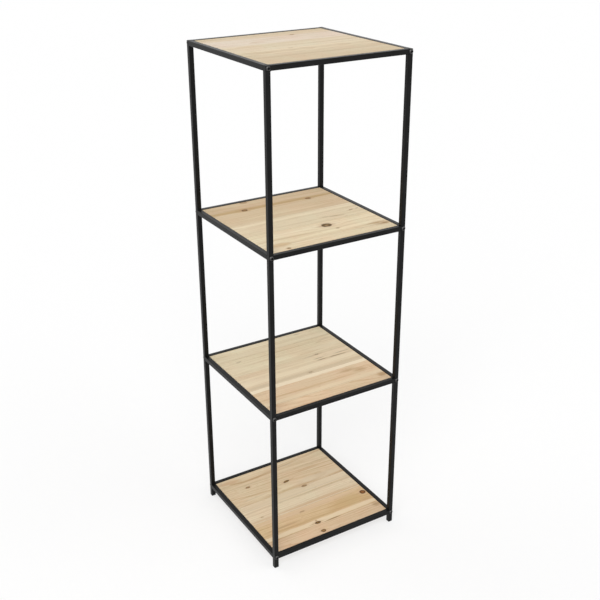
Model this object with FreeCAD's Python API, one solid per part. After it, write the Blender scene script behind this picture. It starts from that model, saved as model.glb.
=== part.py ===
import FreeCAD, Part

import math
import os

from FreeCAD import Vector

# A four-tier shelving tower: two welded ladders of square steel tube, a front one and a
# back one, joined by bolted side rails, with a wooden board let into the frame at each
# level.  Millimetres.  X runs left to right, Y from front to back and Z up.  The origin
# is on the floor, under the centre of the tower.  Level 1 is the lowest.

# --- Overall size, over the tubes (the bolt heads stand proud of it in Y) ---
FRAME_WIDTH = 350.0
FRAME_DEPTH = 350.0
FRAME_HEIGHT = 1200.0
FOOT_CLEARANCE = 25.0       # floor to the underside of the lowest rails
LEVELS = 4

# --- Square tube of the uprights and rails ---
TUBE = 11.0
TUBE_WALL = 1.0
TUBE_CORNER = 1.0           # radius along the outer edges
TUBE_INNER_CORNER = 0.2     # the bore's corners are never sharper than this

# --- Button-head bolts and the inserts they screw into ---
BOLT_DIAMETER = 6.0
BOLT_LENGTH = 22.0          # under the head
BOLT_TIP_CHAMFER = 0.8
BOLT_HEAD_DIAMETER = 11.0
BOLT_HEAD_HEIGHT = 3.0
BOLT_HEAD_RIM = 0.5         # straight side of the head before it domes
BOLT_CROWN_DIAMETER = 6.4   # flat left round the socket
SOCKET_ACROSS_FLATS = 4.0
SOCKET_DEPTH = 1.8
BOLT_HOLE_CLEARANCE = 0.3   # radial, where a bolt goes through an upright
THREAD_CLEARANCE = 0.05     # radial, between a bolt and its insert
INSERT_LENGTH = 14.0
INSERT_FIT = 0.1            # each side, between an insert and the bore of the rail
INSERT_CHAMFER = 0.5

# --- Plastic plugs in the ends of the uprights ---
PLUG_FIT = 0.1              # each side, between a plug and the bore of the upright
FOOT_HEAD = 4.0             # foot below the end of the tube
FOOT_TAPER = 0.8            # chamfer round the sole, less than the tube's outer corner
FOOT_SHANK = 12.0
CAP_HEAD = 1.5              # cap above the end of the tube
CAP_EDGE = 0.5              # rounding of the cap's upper edge
CAP_LEGS = 10.0             # legs that straddle the top bolt

# --- Shelf boards, glued up from staves that run along X ---
BOARD_THICKNESS = 9.0
BOARD_GAP = 1.0             # all round, between board and rails
BOARD_CHAMFER = 0.6
JOINT_GROOVE = 0.3          # depth of the fine V along each glue joint, top and bottom
STAVE_WIDTH = 80.0
NARROWEST_STAVE = 20.0      # a last strip narrower than this stays part of its neighbour
FRONT_STAVE_WIDTHS = (38.0, 36.0, 31.0, 60.0)   # each board's first stave, level 1 first

# --- Support tabs, welded to the front and back rails ---
TAB_LENGTH = 24.0           # along the rail
TAB_REACH = 16.0            # from the rail inwards
TAB_THICKNESS = 1.5
TAB_CORNER = 3.0
TAB_INSET = 55.0            # end of the rail to the middle of the tab

# --- Wood screws, up through the tabs into the boards ---
SCREW_DIAMETER = 3.5
SCREW_LENGTH = 8.0          # under the head
SCREW_POINT = 2.5
SCREW_HEAD_DIAMETER = 7.0
SCREW_HEAD_HEIGHT = 2.2
SCREW_HEAD_ROUNDING = 0.9
RECESS_WIDTH = 1.0
RECESS_SPAN = 4.2
RECESS_DEPTH = 1.2
TAB_HOLE_CLEARANCE = 0.3    # radial
PILOT_CLEARANCE = 0.05      # radial, between a screw and the wood

# --- Worked out from the sizes above ---
LEVEL_PITCH = (FRAME_HEIGHT - FOOT_CLEARANCE - TUBE) / (LEVELS - 1)
BORE = TUBE - 2 * TUBE_WALL
BORE_CORNER = max(TUBE_CORNER - TUBE_WALL, TUBE_INNER_CORNER)
UPRIGHT_X = (FRAME_WIDTH - TUBE) / 2
UPRIGHT_Y = (FRAME_DEPTH - TUBE) / 2
OPENING_WIDTH = FRAME_WIDTH - 2 * TUBE
OPENING_DEPTH = FRAME_DEPTH - 2 * TUBE
BOLT_HOLE_RADIUS = BOLT_DIAMETER / 2 + BOLT_HOLE_CLEARANCE

X_AXIS = Vector(1, 0, 0)
Y_AXIS = Vector(0, 1, 0)
Z_AXIS = Vector(0, 0, 1)
ORIGIN = Vector(0, 0, 0)
SAME_PLACE = 1e-6           # lengths closer than this are equal
SIDES_X = {"left": -1, "right": 1}
SIDES_Y = {"front": -1, "back": 1}


def rail_bottom(level):
    """Height of the underside of the rails at a level."""
    return FOOT_CLEARANCE + (level - 1) * LEVEL_PITCH


def rail_middle(level):
    """Height of the centre line of the rails at a level."""
    return rail_bottom(level) + TUBE / 2


def moved(shape, x=0.0, y=0.0, z=0.0):
    """A copy of a shape, shifted."""
    copy = shape.copy()
    copy.translate(Vector(x, y, z))
    return copy


def turned(shape, axis, angle):
    """A copy of a shape, turned about an axis through the origin, in degrees."""
    copy = shape.copy()
    copy.rotate(ORIGIN, axis, angle)
    return copy


def facing_out(shape, side_y):
    """Turns a shape whose outside points up so that it points out of the front or the back."""
    return turned(shape, X_AXIS, -90 * side_y)


def edges_along_z(shape):
    """The straight edges of a shape that run along Z."""
    found = []
    for edge in shape.Edges:
        first, last = edge.firstVertex().Point, edge.lastVertex().Point
        if math.hypot(last.x - first.x, last.y - first.y) < SAME_PLACE:
            found.append(edge)
    return found


def edges_at_height(shape, z):
    """The edges of a shape that lie flat at one height."""
    return [edge for edge in shape.Edges
            if max(abs(edge.BoundBox.ZMin - z), abs(edge.BoundBox.ZMax - z)) < SAME_PLACE]


def square_bar(side, corner, length):
    """A bar of square section with rounded long edges, standing on z = 0."""
    bar = Part.makeBox(side, side, length, Vector(-side / 2, -side / 2, 0))
    return bar.makeFillet(corner, edges_along_z(bar))


def square_tube(length):
    """A length of the square tube, standing on z = 0."""
    return square_bar(TUBE, TUBE_CORNER, length).cut(square_bar(BORE, BORE_CORNER, length))


def cross_hole(radius, length):
    """A cutter for a hole along Y through the middle of a tube."""
    return Part.makeCylinder(radius, length, Vector(0, -length / 2, 0), Y_AXIS)


def upright():
    """One upright: tube with a bolt hole from front to back at each level."""
    length = FRAME_HEIGHT - FOOT_HEAD - CAP_HEAD
    tube = moved(square_tube(length), z=FOOT_HEAD)
    for level in range(1, LEVELS + 1):
        tube = tube.cut(moved(cross_hole(BOLT_HOLE_RADIUS, 2 * TUBE), z=rail_middle(level)))
    return tube


def cross_rail(level):
    """A front or back rail, centred on x = 0."""
    rail = turned(square_tube(OPENING_WIDTH), Y_AXIS, 90)
    return moved(rail, x=-OPENING_WIDTH / 2, z=rail_middle(level))


def side_rail(level):
    """A left or right rail, centred on y = 0."""
    rail = turned(square_tube(OPENING_DEPTH), X_AXIS, -90)
    return moved(rail, y=-OPENING_DEPTH / 2, z=rail_middle(level))


def bolt_head():
    """Domed head on z = 0, with the ball's centre set by the rim and the crown."""
    rim, crown = BOLT_HEAD_DIAMETER / 2, BOLT_CROWN_DIAMETER / 2
    top, edge = BOLT_HEAD_HEIGHT, BOLT_HEAD_RIM
    centre = (crown ** 2 + top ** 2 - rim ** 2 - edge ** 2) / (2 * (top - edge))
    ball = Part.makeSphere(math.hypot(crown, top - centre), Vector(0, 0, centre))
    return Part.makeCylinder(rim, top).common(ball)


def hexagon_prism(across_flats, height):
    """A hexagonal prism standing on z = 0."""
    radius = across_flats / math.sqrt(3)
    corners = [Vector(radius * math.cos(math.radians(60 * step)),
                      radius * math.sin(math.radians(60 * step)), 0) for step in range(7)]
    return Part.Face(Part.makePolygon(corners)).extrude(Vector(0, 0, height))


def frame_bolt():
    """Button-head bolt: head above z = 0, shank below."""
    socket = moved(hexagon_prism(SOCKET_ACROSS_FLATS, SOCKET_DEPTH), z=BOLT_HEAD_HEIGHT - SOCKET_DEPTH)
    shank = Part.makeCylinder(BOLT_DIAMETER / 2, BOLT_LENGTH)
    shank = shank.makeChamfer(BOLT_TIP_CHAMFER, edges_at_height(shank, 0))
    return bolt_head().cut(socket).fuse(moved(shank, z=-BOLT_LENGTH)).removeSplitter()


def rail_insert():
    """Threaded block in the end of a side rail: its outer end is at z = 0."""
    side = BORE - 2 * INSERT_FIT
    block = Part.makeBox(side, side, INSERT_LENGTH, Vector(-side / 2, -side / 2, -INSERT_LENGTH))
    block = block.makeChamfer(INSERT_CHAMFER, edges_along_z(block))
    hole = Part.makeCylinder(BOLT_DIAMETER / 2 + THREAD_CLEARANCE, INSERT_LENGTH)
    return block.cut(moved(hole, z=-INSERT_LENGTH))


def foot_plug():
    """Foot with a tapered sole at z = 0 and a shank that fills the end of the tube."""
    head = square_bar(TUBE, TUBE_CORNER, FOOT_HEAD)
    head = head.makeChamfer(FOOT_TAPER, edges_at_height(head, 0))
    shank = square_bar(BORE - 2 * PLUG_FIT, BORE_CORNER, FOOT_SHANK)
    return head.fuse(moved(shank, z=FOOT_HEAD)).removeSplitter()


def top_cap():
    """Cap whose two legs go down the upright, one each side of the top bolt."""
    side = BORE - 2 * PLUG_FIT
    head = square_bar(TUBE, TUBE_CORNER, CAP_HEAD)
    head = head.makeFillet(CAP_EDGE, edges_at_height(head, CAP_HEAD))
    legs = square_bar(side, BORE_CORNER, CAP_LEGS)
    slot = 2 * BOLT_HOLE_RADIUS
    legs = legs.cut(Part.makeBox(slot, 2 * side, CAP_LEGS, Vector(-slot / 2, -side, 0)))
    return head.fuse(moved(legs, z=-CAP_LEGS)).removeSplitter()


def tab_places():
    """X and the outward side in Y of the four tabs of a level."""
    reach = OPENING_WIDTH / 2 - TAB_INSET
    return [(side_x * reach, side_y) for side_y in SIDES_Y.values() for side_x in SIDES_X.values()]


def tab_hole_y(side_y):
    """Y of the screw in a tab of the front or back rail."""
    return side_y * (OPENING_DEPTH / 2 - TAB_REACH / 2)


def support_tab(level, x, side_y):
    """Flat tab on the inner face of a rail, flush with the underside of the rail."""
    plate = Part.makeBox(TAB_LENGTH, TAB_REACH, TAB_THICKNESS, Vector(-TAB_LENGTH / 2, 0, 0))
    free_corners = [edge for edge in edges_along_z(plate) if edge.BoundBox.YMin > TAB_REACH / 2]
    plate = plate.makeFillet(TAB_CORNER, free_corners)
    hole = Part.makeCylinder(SCREW_DIAMETER / 2 + TAB_HOLE_CLEARANCE, TAB_THICKNESS)
    plate = plate.cut(moved(hole, y=TAB_REACH / 2))
    if side_y > 0:
        plate = turned(plate, Z_AXIS, 180)
    return moved(plate, x=x, y=side_y * OPENING_DEPTH / 2, z=rail_bottom(level))


def board_screw():
    """Pan-head screw pointing up: the underside of the head is at z = 0."""
    radius = SCREW_DIAMETER / 2
    straight = SCREW_LENGTH - SCREW_POINT
    head = Part.makeCylinder(SCREW_HEAD_DIAMETER / 2, SCREW_HEAD_HEIGHT)
    head = head.makeFillet(SCREW_HEAD_ROUNDING, edges_at_height(head, 0))
    for angle in (0, 90):
        slot = Part.makeBox(RECESS_SPAN, RECESS_WIDTH, RECESS_DEPTH,
                            Vector(-RECESS_SPAN / 2, -RECESS_WIDTH / 2, 0))
        head = head.cut(turned(slot, Z_AXIS, angle))
    shank = Part.makeCylinder(radius, straight)
    point = Part.makeCone(radius, 0, SCREW_POINT, Vector(0, 0, straight))
    return moved(head, z=-SCREW_HEAD_HEIGHT).fuse(shank.fuse(point)).removeSplitter()


def pilot_hole():
    """The space a screw takes in the wood, from the underside of its head up."""
    radius = SCREW_DIAMETER / 2 + PILOT_CLEARANCE
    straight = SCREW_LENGTH - SCREW_POINT
    point = Part.makeCone(radius, 0, SCREW_POINT + PILOT_CLEARANCE, Vector(0, 0, straight))
    return Part.makeCylinder(radius, straight).fuse(point)


def stave_joints(front_stave, depth):
    """Distances from the board's front edge to its stave joints, and to both edges."""
    joints = [0.0]
    place = front_stave
    while place < depth - NARROWEST_STAVE:
        joints.append(place)
        place += STAVE_WIDTH
    return joints + [depth]


def groove_cutter(length):
    """A square bar along X, centred on the origin and standing on its edge."""
    side = JOINT_GROOVE * math.sqrt(2)
    bar = Part.makeBox(length, side, side, Vector(-length / 2, -side / 2, -side / 2))
    return turned(bar, X_AXIS, 45)


def shelf_board(level):
    """The staves of one board, which lies on the tabs."""
    width, depth = OPENING_WIDTH - 2 * BOARD_GAP, OPENING_DEPTH - 2 * BOARD_GAP
    underside = rail_bottom(level) + TAB_THICKNESS
    panel = Part.makeBox(width, depth, BOARD_THICKNESS, Vector(-width / 2, -depth / 2, underside))
    panel = panel.makeChamfer(BOARD_CHAMFER, panel.Edges)
    for x, side_y in tab_places():
        panel = panel.cut(moved(pilot_hole(), x=x, y=tab_hole_y(side_y), z=rail_bottom(level)))
    front_stave = FRONT_STAVE_WIDTHS[(level - 1) % len(FRONT_STAVE_WIDTHS)]
    joints = stave_joints(front_stave, depth)
    for joint in joints[1:-1]:
        for face in (underside, underside + BOARD_THICKNESS):
            panel = panel.cut(moved(groove_cutter(width), y=joint - depth / 2, z=face))
    staves = []
    for near, far in zip(joints, joints[1:]):
        cell = Part.makeBox(width, far - near, BOARD_THICKNESS,
                            Vector(-width / 2, near - depth / 2, underside))
        staves.append(panel.common(cell))
    return Part.Compound([solid for stave in staves for solid in stave.Solids])


def save(node, shape):
    """Writes one sub-part and prints its size."""
    shape.exportStep("parts/" + node + ".step")
    box = shape.BoundBox
    print("%-24s %2d solids  %7.1f x %6.1f x %7.1f mm"
          % (node, len(shape.Solids), box.XLength, box.YLength, box.ZLength))


def build_uprights():
    """Uprights with their feet and caps, one set at each corner."""
    tube, foot, cap = upright(), foot_plug(), moved(top_cap(), z=FRAME_HEIGHT - CAP_HEAD)
    for name_y, side_y in SIDES_Y.items():
        for name_x, side_x in SIDES_X.items():
            corner = name_y + "_" + name_x
            for piece, shape in (("upright", tube), ("foot", foot), ("cap", cap)):
                save(corner + "_" + piece, moved(shape, x=side_x * UPRIGHT_X, y=side_y * UPRIGHT_Y))


def build_rails(level):
    """The four rails of a level."""
    for name_y, side_y in SIDES_Y.items():
        save("%s_rail_%d" % (name_y, level), moved(cross_rail(level), y=side_y * UPRIGHT_Y))
    for name_x, side_x in SIDES_X.items():
        save("%s_rail_%d" % (name_x, level), moved(side_rail(level), x=side_x * UPRIGHT_X))


def build_fixings(level):
    """The bolts and inserts of the side rails, and the tabs and screws of the board."""
    bolts, inserts = [], []
    for side_y in SIDES_Y.values():
        for side_x in SIDES_X.values():
            place = {"x": side_x * UPRIGHT_X, "z": rail_middle(level)}
            bolts.append(moved(facing_out(frame_bolt(), side_y), y=side_y * FRAME_DEPTH / 2, **place))
            inserts.append(moved(facing_out(rail_insert(), side_y), y=side_y * OPENING_DEPTH / 2, **place))
    tabs = [support_tab(level, x, side_y) for x, side_y in tab_places()]
    screws = [moved(board_screw(), x=x, y=tab_hole_y(side_y), z=rail_bottom(level))
              for x, side_y in tab_places()]
    save("frame_bolts_%d" % level, Part.Compound(bolts))
    save("rail_inserts_%d" % level, Part.Compound(inserts))
    save("support_tabs_%d" % level, Part.Compound(tabs))
    save("board_screws_%d" % level, Part.Compound(screws))


os.makedirs("parts", exist_ok=True)
build_uprights()
for shelf_level in range(1, LEVELS + 1):
    build_rails(shelf_level)
    save("shelf_board_%d" % shelf_level, shelf_board(shelf_level))
    build_fixings(shelf_level)
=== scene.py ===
# %% [markdown]
# # A four-tier shelving tower
#
# The real object is a welded and bolted frame of thin black square tube with a pale softwood
# board let into it at each level. The frame file already holds every piece at its real size,
# so this notebook doesn't model the tower again. It gives each piece the finish that its
# maker would give it, adds the weld metal that the frame leaves out, and sets up a plain
# studio round it. Everything is in metres, with X to the right, Y to the back and Z up.

# %% Load the frame
import math
from collections import namedtuple

import bmesh
import bpy
from mathutils import Matrix, Vector


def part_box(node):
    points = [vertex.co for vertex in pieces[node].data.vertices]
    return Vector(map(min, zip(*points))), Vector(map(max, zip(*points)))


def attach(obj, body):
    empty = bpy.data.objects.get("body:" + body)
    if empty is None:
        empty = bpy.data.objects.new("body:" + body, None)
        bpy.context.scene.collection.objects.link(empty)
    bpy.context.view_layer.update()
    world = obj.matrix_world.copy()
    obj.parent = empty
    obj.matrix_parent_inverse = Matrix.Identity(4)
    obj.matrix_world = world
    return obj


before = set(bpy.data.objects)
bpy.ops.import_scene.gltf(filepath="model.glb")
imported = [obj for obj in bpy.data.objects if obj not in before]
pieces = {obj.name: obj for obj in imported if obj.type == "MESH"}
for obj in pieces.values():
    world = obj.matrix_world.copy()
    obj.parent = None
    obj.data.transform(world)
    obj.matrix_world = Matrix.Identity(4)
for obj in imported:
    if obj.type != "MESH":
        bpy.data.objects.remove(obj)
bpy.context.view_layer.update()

print("pieces in the frame:", len(pieces))

# %% [markdown]
# ## Two words about the sizes
#
# Wood grain and paint texture are thought out in millimetres, as in a workshop.

# %% Millimetres and the levels of the tower
MM = 0.001
LEVELS = (1, 2, 3, 4)

# %% [markdown]
# ## A small vocabulary for shader nodes
#
# A material in Blender is a graph of nodes. Built by hand, each node takes four or five
# lines, and the idea gets lost. These helpers take one line each. A value that is itself the
# output of a node is linked, and any other value is typed into the socket.


# %% Helpers for a node and for arithmetic
def feed(tree, socket, value):
    """Links a node's output to a socket, or sets the socket's own value."""
    if isinstance(value, bpy.types.NodeSocket):
        tree.links.new(value, socket)
    elif hasattr(socket.default_value, "__len__") and len(value) < len(socket.default_value):
        socket.default_value = (*value, 1.0)
    else:
        socket.default_value = value


def add(tree, kind, inputs, **settings):
    """Adds a node, sets it up and feeds its inputs."""
    node = tree.nodes.new(kind)
    for name, value in settings.items():
        setattr(node, name, value)
    for name, value in inputs.items():
        feed(tree, node.inputs[name], value)
    return node


def sums(tree, operation, first, second=0.0, third=0.0):
    """One step of arithmetic on numbers."""
    inputs = {0: first, 1: second, 2: third}
    return add(tree, "ShaderNodeMath", inputs, operation=operation).outputs[0]


def vectors(tree, operation, first, second=(0.0, 0.0, 0.0)):
    """One step of arithmetic on places."""
    node = add(tree, "ShaderNodeVectorMath", {0: first, 1: second}, operation=operation)
    return node.outputs["Value" if operation == "LENGTH" else "Vector"]


def split(tree, place):
    """The X, Y and Z of a place."""
    return add(tree, "ShaderNodeSeparateXYZ", {0: place}).outputs


def join(tree, **parts):
    """A place made of X, Y and Z, where a part that isn't given is 0."""
    return add(tree, "ShaderNodeCombineXYZ", parts).outputs[0]


print("helpers: feed, add, sums, vectors, split, join")

# %% Helpers for patterns
MOST = (0.3, 0.7)           # nearly all of a noise lies between these two


def noise(tree, place, scale, detail=2.0, roughness=0.5):
    """Cloudy noise: the scale is the number of clouds to a millimetre."""
    inputs = {"Vector": place, "Scale": scale, "Detail": detail, "Roughness": roughness}
    return add(tree, "ShaderNodeTexNoise", inputs).outputs["Fac"]


def ease(tree, value, start, end, low=0.0, high=1.0):
    """Goes smoothly from low to high while a value goes from start to end."""
    inputs = {0: value, 1: start, 2: end, 3: low, 4: high}
    return add(tree, "ShaderNodeMapRange", inputs, interpolation_type="SMOOTHSTEP").outputs[0]


def ramp(tree, value, stops, interpolation="LINEAR"):
    """Turns a number from 0 to 1 into a colour."""
    node = add(tree, "ShaderNodeValToRGB", {0: value})
    node.color_ramp.interpolation = interpolation
    while len(node.color_ramp.elements) < len(stops):
        node.color_ramp.elements.new(0.5)
    for element, (position, colour) in zip(node.color_ramp.elements, stops):
        element.position = position
        element.color = (*colour, 1.0)
    return node.outputs["Color"]


print("helpers: noise, ease, ramp")


# %% Helpers that start and end a material
def bare_tree(block):
    """The emptied node tree of a material or a sky."""
    block.use_nodes = True
    block.node_tree.nodes.clear()
    return block.node_tree


def start_material(name):
    """An empty material, its nodes, and the place on the piece in millimetres."""
    material = bpy.data.materials.new(name)
    tree = bare_tree(material)
    place = add(tree, "ShaderNodeTexCoord", {}).outputs["Object"]
    return material, tree, vectors(tree, "MULTIPLY", place, (1 / MM, 1 / MM, 1 / MM))


def end_material(material, colour, roughness, height, relief, **uniform):
    """Joins the parts of a finish in one Principled shader. Relief is the bump's height in metres."""
    tree = material.node_tree
    bump = add(tree, "ShaderNodeBump", {"Height": height, "Distance": relief, "Strength": 1.0})
    inputs = {"Base Color": colour, "Roughness": roughness, "Normal": bump.outputs[0]}
    shader = add(tree, "ShaderNodeBsdfPrincipled", inputs)
    for socket, value in uniform.items():
        shader.inputs[socket.replace("_", " ")].default_value = value
    add(tree, "ShaderNodeOutputMaterial", {"Surface": shader.outputs[0]})
    print(material.name, "has", len(tree.nodes), "nodes")
    return material


print("helpers: bare_tree, start_material, end_material")

# %% [markdown]
# ## Black powder coat
#
# The tubes are sprayed with dry paint that melts in an oven. It levels out, but never to a
# mirror: the skin keeps a fine orange peel, with dimples about a millimetre apart and two
# hundredths deep. Paint of one flat grey would look like plastic, so the colour and the gloss
# wander a little over lengths of a few centimetres.

# %% Powder coat
COAT_DEEP = (0.0046, 0.0046, 0.0047)
COAT_WORN = (0.0080, 0.0080, 0.0080)
COAT_CLOUD = 0.03           # patches to a millimetre
COAT_PEEL = 0.9             # dimples to a millimetre
COAT_RELIEF = 0.02 * MM
COAT_ROUGHNESS = (0.27, 0.33)
PEEL_ROUGHNESS = 0.06       # the most that the dimples add to it
COAT_SHINE = 0.11           # strength of the reflections, where 0.5 is clear varnish


def powder_coat():
    """Satin black paint with a fine orange peel."""
    material, tree, place = start_material("powder_coat")
    cloud = noise(tree, place, COAT_CLOUD, detail=4.0)
    peel = noise(tree, place, COAT_PEEL, detail=1.0)
    colour = ramp(tree, cloud, [(0.35, COAT_DEEP), (0.7, COAT_WORN)])
    smooth = ease(tree, cloud, *MOST, *COAT_ROUGHNESS)
    roughness = sums(tree, "MULTIPLY_ADD", peel, PEEL_ROUGHNESS, smooth)
    return end_material(material, colour, roughness, peel, COAT_RELIEF, Specular_IOR_Level=COAT_SHINE)


coat = powder_coat()

# %% [markdown]
# ## Moulded plastic
#
# The feet and the end caps are moulded. A mould for such a part is spark eroded, which leaves
# a finer and sharper grain than paint, and no gloss. The colour is a shade duller than the
# coat beside it, and that difference is what makes a plug read as a separate piece.

# %% Plastic of the feet and caps
PLASTIC_DARK = (0.0100, 0.0100, 0.0102)
PLASTIC_LIGHT = (0.0165, 0.0165, 0.0165)
PLASTIC_GRAIN = 3.0         # pits to a millimetre
PLASTIC_RELIEF = 0.012 * MM
PLASTIC_ROUGHNESS = (0.52, 0.64)
PLASTIC_SHINE = 0.2


def moulded_plastic():
    """Matt black plastic with a spark-eroded grain."""
    material, tree, place = start_material("moulded_plastic")
    grain = noise(tree, place, PLASTIC_GRAIN, detail=3.0, roughness=0.7)
    colour = ramp(tree, grain, [(0.3, PLASTIC_DARK), (0.7, PLASTIC_LIGHT)])
    roughness = ease(tree, grain, *MOST, *PLASTIC_ROUGHNESS)
    return end_material(material, colour, roughness, grain, PLASTIC_RELIEF, Specular_IOR_Level=PLASTIC_SHINE)


plastic = moulded_plastic()

# %% [markdown]
# ## Bolts, inserts and screws
#
# The inserts and the wood screws are zinc plated: bright, faintly blue and yellow, with a
# crystal mottle. The bolts are blackened steel, whose black oxide is a few thousandths of a
# millimetre thick. The brighter ring on the dome round the socket is a painted highlight, which
# stands in for the light that the slope of the dome would catch. Every bolt needs that ring, so
# the material works out how far each place is from the axis of the nearest bolt.

# %% Zinc plate
ZINC_BLUE = (0.56, 0.60, 0.64)
ZINC_YELLOW = (0.66, 0.64, 0.57)
ZINC_CRYSTALS, ZINC_GRAIN = 0.4, 5.0        # to a millimetre
ZINC_RELIEF = 0.004 * MM
ZINC_ROUGHNESS = (0.42, 0.28)


def zinc_plate():
    """Bright plating whose tint and gloss drift from crystal to crystal."""
    material, tree, place = start_material("zinc_plate")
    crystals = noise(tree, place, ZINC_CRYSTALS, detail=4.0, roughness=0.6)
    grain = noise(tree, place, ZINC_GRAIN)
    colour = ramp(tree, crystals, [(0.4, ZINC_BLUE), (0.68, ZINC_YELLOW)])
    roughness = ease(tree, crystals, 0.35, 0.7, *ZINC_ROUGHNESS)
    return end_material(material, colour, roughness, grain, ZINC_RELIEF, Metallic=1.0)


zinc = zinc_plate()


# %% How far a place is from the nearest bolt
def middle(node):
    """The centre of a frame piece, in millimetres."""
    low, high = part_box(node)
    return (low + high) / 2 / MM


LOWEST_BOLT = middle("frame_bolts_1").z
BOLT_PITCH = middle("frame_bolts_2").z - LOWEST_BOLT
BOLT_ASIDE = middle("front_right_upright").x


def bolt_radius(tree, place):
    """Folds the bolts of all levels and both sides on one, and measures from its axis."""
    parts = split(tree, place)
    across = sums(tree, "SUBTRACT", sums(tree, "ABSOLUTE", parts["X"]), BOLT_ASIDE)
    above = sums(tree, "SUBTRACT", parts["Z"], LOWEST_BOLT)
    height = sums(tree, "WRAP", above, BOLT_PITCH / 2, -BOLT_PITCH / 2)
    return vectors(tree, "LENGTH", join(tree, X=across, Y=height))


print("bolts every", round(BOLT_PITCH, 1), "mm upwards, from", round(LOWEST_BOLT, 1), "mm")

# %% Blackened steel, with a painted highlight round the dome of each bolt
BLACKING = (0.018, 0.018, 0.019)
HIGHLIGHT_RING_TONE = (0.068, 0.067, 0.066)
SOCKET_EDGE, DOME_START, DOME_END, RIM = 2.1, 3.3, 4.7, 5.5     # millimetres from the axis
HIGHLIGHT_STRENGTH = (0.45, 1.0)      # how strong the painted highlight is, from one patch to another
STEEL_PATCHES, STEEL_GRAIN = 0.5, 4.0       # to a millimetre
STEEL_RELIEF = 0.006 * MM
STEEL_ROUGHNESS = (0.46, 0.30)


def blend(tree, amount, under, over, mode="MIX"):
    """Lays one colour over another."""
    node = add(tree, "ShaderNodeMix", {0: amount, 6: under, 7: over}, data_type="RGBA", blend_type=mode)
    return node.outputs[2]


def blackened_steel():
    """Thin black oxide, with a painted highlight ring on the dome."""
    material, tree, place = start_material("blackened_steel")
    radius = bolt_radius(tree, place)
    rising, falling = ease(tree, radius, SOCKET_EDGE, DOME_START), ease(tree, radius, RIM, DOME_END)
    dome = sums(tree, "MULTIPLY", rising, falling)
    patches = noise(tree, place, STEEL_PATCHES, detail=4.0, roughness=0.6)
    # Painted highlight: the dome round each socket is made brighter, more in some patches than in others.
    painted_highlight = sums(tree, "MULTIPLY", dome, ease(tree, patches, 0.3, 0.65, *HIGHLIGHT_STRENGTH))
    colour = blend(tree, painted_highlight, BLACKING, HIGHLIGHT_RING_TONE)
    roughness = ease(tree, painted_highlight, 0.0, 1.0, *STEEL_ROUGHNESS)
    grain = noise(tree, place, STEEL_GRAIN)
    return end_material(material, colour, roughness, grain, STEEL_RELIEF, Metallic=1.0)


blackened = blackened_steel()

# %% [markdown]
# ## How a softwood board is drawn
#
# Each board is glued up from staves about 80 mm wide, and every stave is cut from another
# part of a log. A flat pattern could be laid on the top, but it would smear down the edges. So
# the pattern is worked out as a solid, the way that the tree made it: growth rings are tubes
# round a pith that runs along X somewhere under the stave. Sawing through them gives straight
# lines at the sides of a log and long arches near its heart, and the underside and the ends of
# the board agree with the top.
#
# The tones come first: one for each stave, and more for bands, resin and knots.

# %% Tones of the wood
SAP_PALE = (0.810, 0.700, 0.525)
SAP_CREAM = (0.785, 0.675, 0.490)
SAP_BRIGHT = (0.815, 0.710, 0.520)
SAP_DULL = (0.745, 0.640, 0.465)
SAP_HONEY = (0.745, 0.605, 0.420)
CREAM = (0.725, 0.610, 0.445)
GREY_CREAM = (0.745, 0.655, 0.480)
SOFT_CREAM = (0.720, 0.620, 0.465)
STRAW = (0.660, 0.545, 0.385)
BRIGHT_STRAW = (0.705, 0.573, 0.400)
SOFT_STRAW = (0.655, 0.545, 0.390)
TAN = (0.660, 0.520, 0.350)
DULL_TAN = (0.600, 0.490, 0.342)
PINKISH = (0.695, 0.525, 0.360)
ROSY = (0.740, 0.575, 0.400)
GOLDEN = (0.665, 0.495, 0.300)
HEART = (0.520, 0.360, 0.175)
BLUSH = (0.765, 0.665, 0.560)
RESIN_BROWN = (0.42, 0.27, 0.14)
REDDISH = (0.56, 0.38, 0.23)
SMUDGE = (0.44, 0.37, 0.27)
CRACK = (0.13, 0.09, 0.05)
KNOT_BLACK = (0.24, 0.140, 0.050)
KNOT_BROWN = (0.33, 0.185, 0.070)
KNOT_RED = (0.28, 0.115, 0.040)
KNOT_GREY = (0.36, 0.235, 0.115)
KNOT_PALE = (0.56, 0.410, 0.260)

# From the front stave to the back one.
STAVE_TONES = {
    1: (PINKISH, GOLDEN, CREAM, BRIGHT_STRAW, BRIGHT_STRAW),
    2: (ROSY, ROSY, CREAM, GREY_CREAM, GREY_CREAM),
    3: (SAP_CREAM, SAP_BRIGHT, SAP_DULL, BRIGHT_STRAW, TAN),
    4: (SOFT_STRAW, SOFT_STRAW, SOFT_CREAM, BLUSH, SOFT_STRAW),
}
print("staves:", sum(map(len, STAVE_TONES.values())))

# %% [markdown]
# ## Knots and streaks
#
# A knot is a branch that the stem grew round. It goes through the board, it is darker and
# denser than the stem, it often has a black rim of old bark, and the grain parts on its way
# past. Each knot here is two node groups: one pushes the growth rings aside, and one paints
# the knot, the warm wood round it and the dark grain that trails off on both sides. A streak
# is a long soft oval of another tone: resin, heart wood, a band of sap wood or a fine crack.
#
# A group is built once and used many times, with other numbers in its sockets each time.


# %% Node groups with named sockets
SOCKETS = {"Colour": "NodeSocketColor", "Tint": "NodeSocketColor", "Core": "NodeSocketColor",
           "Place": "NodeSocketVector", "Centre": "NodeSocketVector", "Size": "NodeSocketVector"}


def new_group(name, inputs, output):
    """An empty node group: its tree, its inputs and its one output."""
    tree = bpy.data.node_groups.new(name, "ShaderNodeTree")
    for socket in inputs:
        tree.interface.new_socket(socket, in_out="INPUT", socket_type=SOCKETS.get(socket, "NodeSocketFloat"))
    tree.interface.new_socket(output, in_out="OUTPUT", socket_type=SOCKETS[output])
    entrance, way_out = tree.nodes.new("NodeGroupInput"), tree.nodes.new("NodeGroupOutput")
    return tree, entrance.outputs, way_out.inputs[output]


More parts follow.
